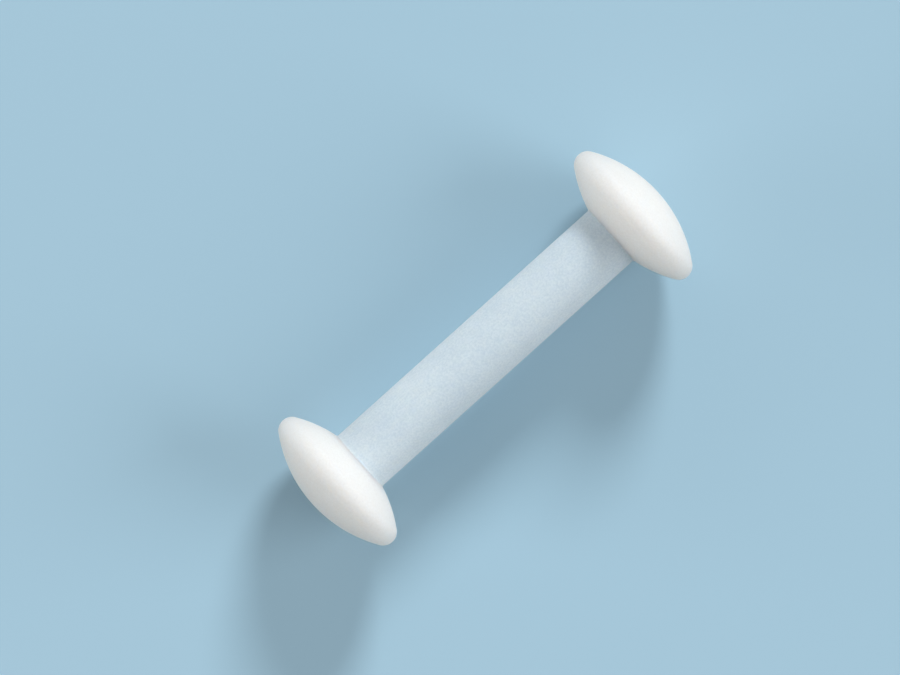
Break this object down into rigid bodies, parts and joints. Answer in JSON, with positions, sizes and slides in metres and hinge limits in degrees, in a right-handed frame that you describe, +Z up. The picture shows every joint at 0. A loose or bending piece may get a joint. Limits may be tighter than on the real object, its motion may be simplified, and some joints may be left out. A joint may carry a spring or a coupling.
{
  "type": "magnetic stir bar",
  "caption": "Dumbbell stir bar: a bar magnet sealed in a white PTFE jacket, a slim round shaft with a lens-shaped disc at each end, turned from below to stir liquid.",
  "frame": {"origin": "on the surface that the discs touch, under the middle of the bar, on the vertical line about which it turns as it stirs", "axes": "+X along the bar, +Z up and along the line about which it turns, +Y across the bar"},
  "size_m": [0.054, 0.019, 0.019],
  "materials": {
    "ptfe": "white sintered PTFE, turned smooth, waxy and faintly translucent where the wall is thin",
    "magnet_alloy": "cast AlNiCo magnet alloy, ground on the outside"
  },
  "bodies": {
    "root": {"ptfe_jacket": "ptfe", "bar_magnet": "magnet_alloy"}
  },
  "joints": []
}
